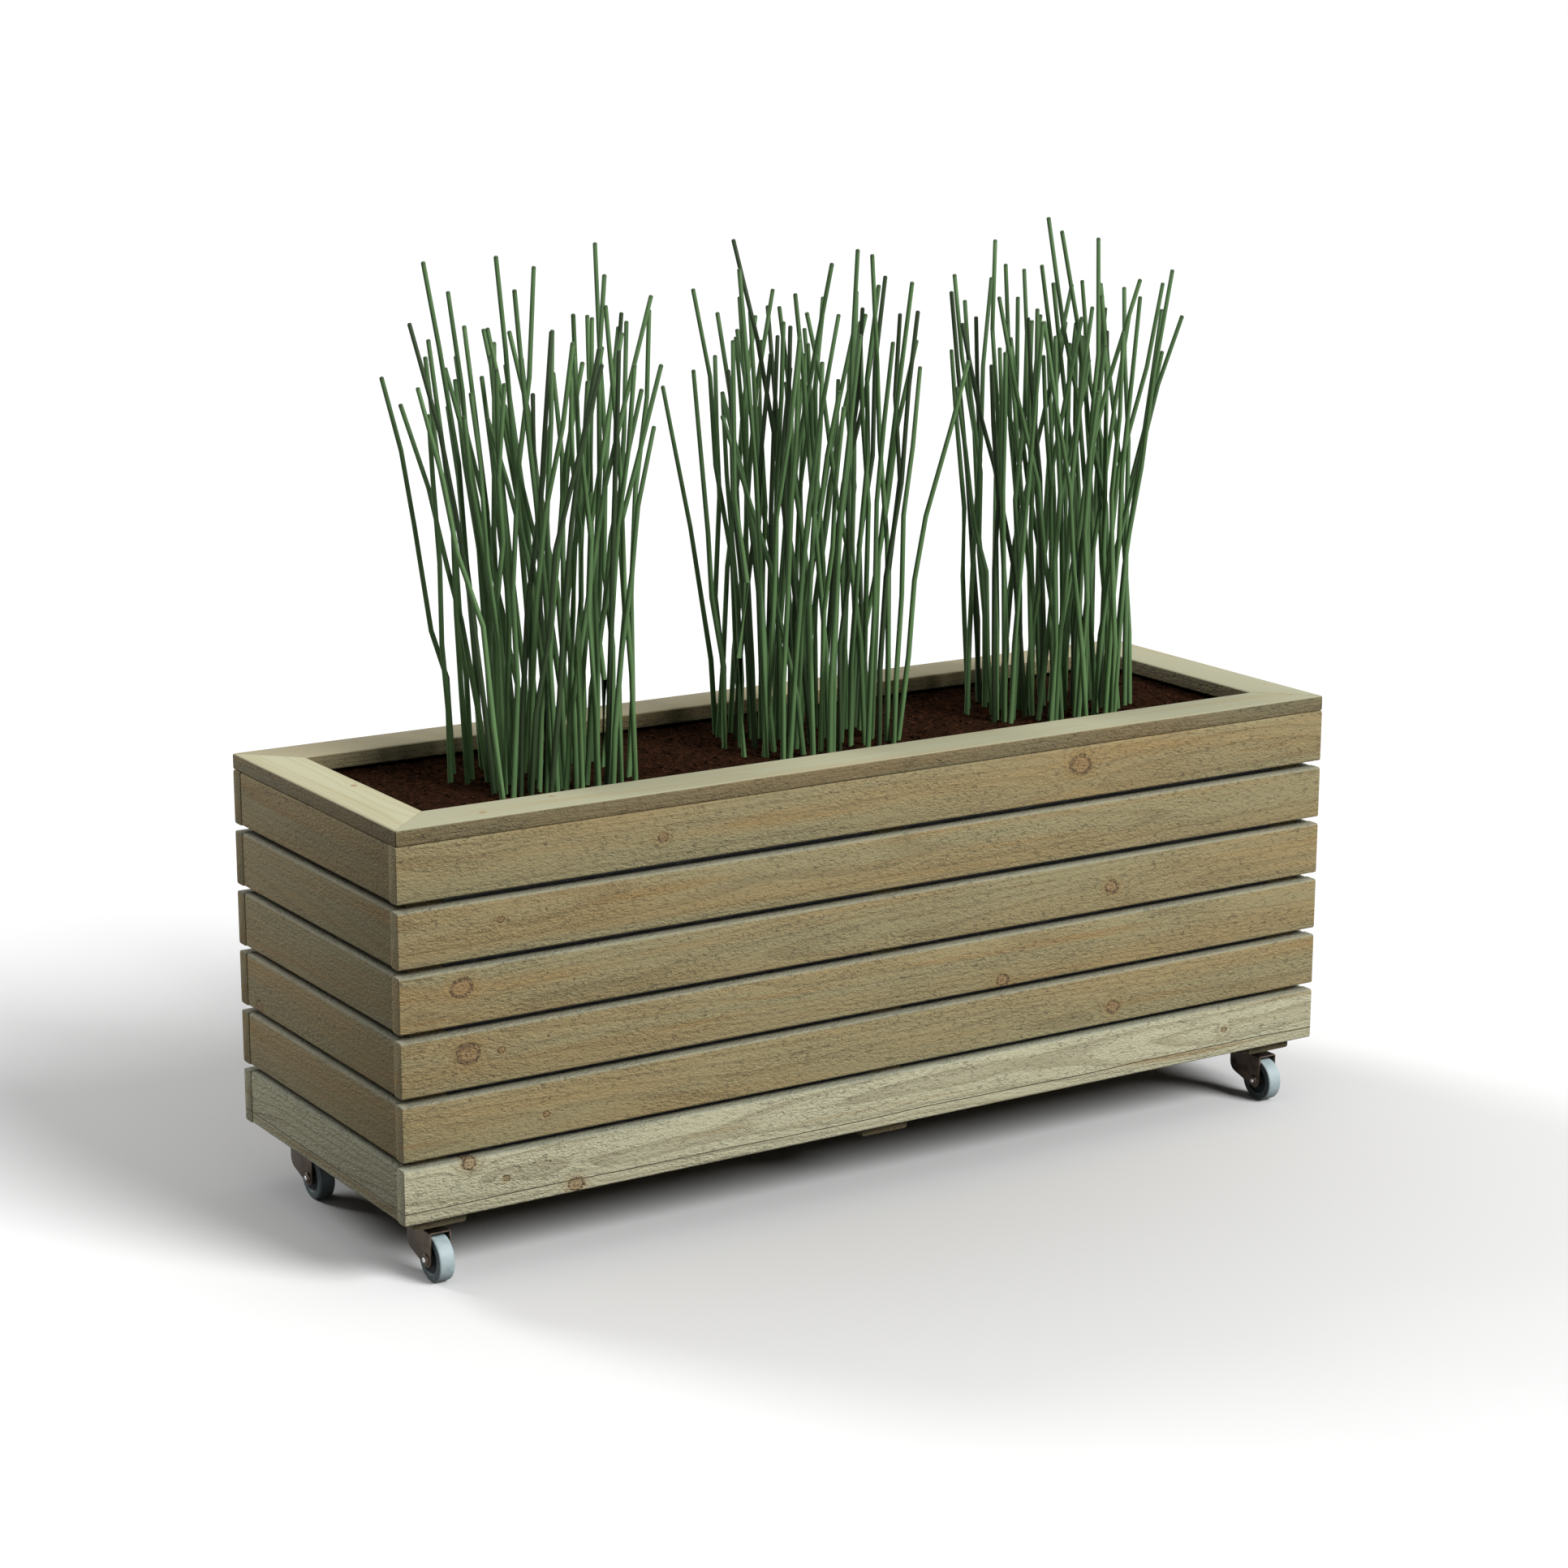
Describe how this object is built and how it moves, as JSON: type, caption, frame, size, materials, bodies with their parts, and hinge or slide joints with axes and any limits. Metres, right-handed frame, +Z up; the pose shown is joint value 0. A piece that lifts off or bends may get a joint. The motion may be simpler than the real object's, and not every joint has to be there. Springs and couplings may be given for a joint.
{
  "type": "rolling planter",
  "caption": "Long slatted timber planter box with a mitred cap, swivel castors, potting soil and clumps of tall rush.",
  "frame": {"origin": "on the floor, under the middle of the trough", "axes": "+X along the trough, +Y from front to back, +Z up"},
  "size_m": [1.2, 0.4, 1.044],
  "materials": {
    "slat_timber": "rough-sawn softwood, pressure treated",
    "cap_timber": "planed softwood, pressure treated",
    "frame_timber": "sawn softwood",
    "floor_plywood": "plywood",
    "liner_plastic": "black sheet",
    "potting_soil": "loose, granular",
    "rush_stems": "waxy green stems",
    "castor_steel": "pressed steel, dark",
    "bolt_steel": "bright plated",
    "wheel_rubber": "grey rubber"
  },
  "bodies": {
    "trough": {"front_slat_1": "slat_timber", "front_slat_2": "slat_timber", "front_slat_3": "slat_timber", "front_slat_4": "slat_timber", "front_slat_5": "slat_timber", "front_slat_6": "slat_timber", "cap_front": "cap_timber", "back_slat_1": "slat_timber", "back_slat_2": "slat_timber", "back_slat_3": "slat_timber", "back_slat_4": "slat_timber", "back_slat_5": "slat_timber", "back_slat_6": "slat_timber", "cap_back": "cap_timber", "left_slat_1": "slat_timber", "left_slat_2": "slat_timber", "left_slat_3": "slat_timber", "left_slat_4": "slat_timber", "left_slat_5": "slat_timber", "left_slat_6": "slat_timber", "cap_left": "cap_timber", "right_slat_1": "slat_timber", "right_slat_2": "slat_timber", "right_slat_3": "slat_timber", "right_slat_4": "slat_timber", "right_slat_5": "slat_timber", "right_slat_6": "slat_timber", "cap_right": "cap_timber", "front_left_post": "frame_timber", "front_right_post": "frame_timber", "front_batten": "frame_timber", "back_left_post": "frame_timber", "back_right_post": "frame_timber", "back_batten": "frame_timber", "bearer_left": "frame_timber", "bearer_middle": "frame_timber", "bearer_right": "frame_timber", "floor_panel": "floor_plywood", "liner": "liner_plastic", "soil": "potting_soil", "rush_left": "rush_stems", "rush_middle": "rush_stems", "rush_right": "rush_stems", "front_left_castor_plate": "castor_steel", "front_right_castor_plate": "castor_steel", "back_left_castor_plate": "castor_steel", "back_right_castor_plate": "castor_steel"},
    "front_left_swivel": {"front_left_fork": "castor_steel", "front_left_axle": "bolt_steel"},
    "front_left_roller": {"front_left_wheel": "wheel_rubber"},
    "front_right_swivel": {"front_right_fork": "castor_steel", "front_right_axle": "bolt_steel"},
    "front_right_roller": {"front_right_wheel": "wheel_rubber"},
    "back_left_swivel": {"back_left_fork": "castor_steel", "back_left_axle": "bolt_steel"},
    "back_left_roller": {"back_left_wheel": "wheel_rubber"},
    "back_right_swivel": {"back_right_fork": "castor_steel", "back_right_axle": "bolt_steel"},
    "back_right_roller": {"back_right_wheel": "wheel_rubber"}
  },
  "joints": [
    {"name": "front_left_swivel_turn", "type": "hinge", "parent": "trough", "child": "front_left_swivel", "pos_m": [-0.5512, -0.145, 0.056], "axis": [0, 0, 1], "continuous": true},
    {"name": "front_left_wheel_roll", "type": "hinge", "parent": "front_left_swivel", "child": "front_left_roller", "pos_m": [-0.5512, -0.172, 0.025], "axis": [1, 0, 0], "continuous": true},
    {"name": "front_right_swivel_turn", "type": "hinge", "parent": "trough", "child": "front_right_swivel", "pos_m": [0.5512, -0.145, 0.056], "axis": [0, 0, 1], "continuous": true},
    {"name": "front_right_wheel_roll", "type": "hinge", "parent": "front_right_swivel", "child": "front_right_roller", "pos_m": [0.5512, -0.172, 0.025], "axis": [1, 0, 0], "continuous": true},
    {"name": "back_left_swivel_turn", "type": "hinge", "parent": "trough", "child": "back_left_swivel", "pos_m": [-0.5512, 0.145, 0.056], "axis": [0, 0, 1], "continuous": true},
    {"name": "back_left_wheel_roll", "type": "hinge", "parent": "back_left_swivel", "child": "back_left_roller", "pos_m": [-0.5512, 0.118, 0.025], "axis": [1, 0, 0], "continuous": true},
    {"name": "back_right_swivel_turn", "type": "hinge", "parent": "trough", "child": "back_right_swivel", "pos_m": [0.5512, 0.145, 0.056], "axis": [0, 0, 1], "continuous": true},
    {"name": "back_right_wheel_roll", "type": "hinge", "parent": "back_right_swivel", "child": "back_right_roller", "pos_m": [0.5512, 0.118, 0.025], "axis": [1, 0, 0], "continuous": true}
  ]
}
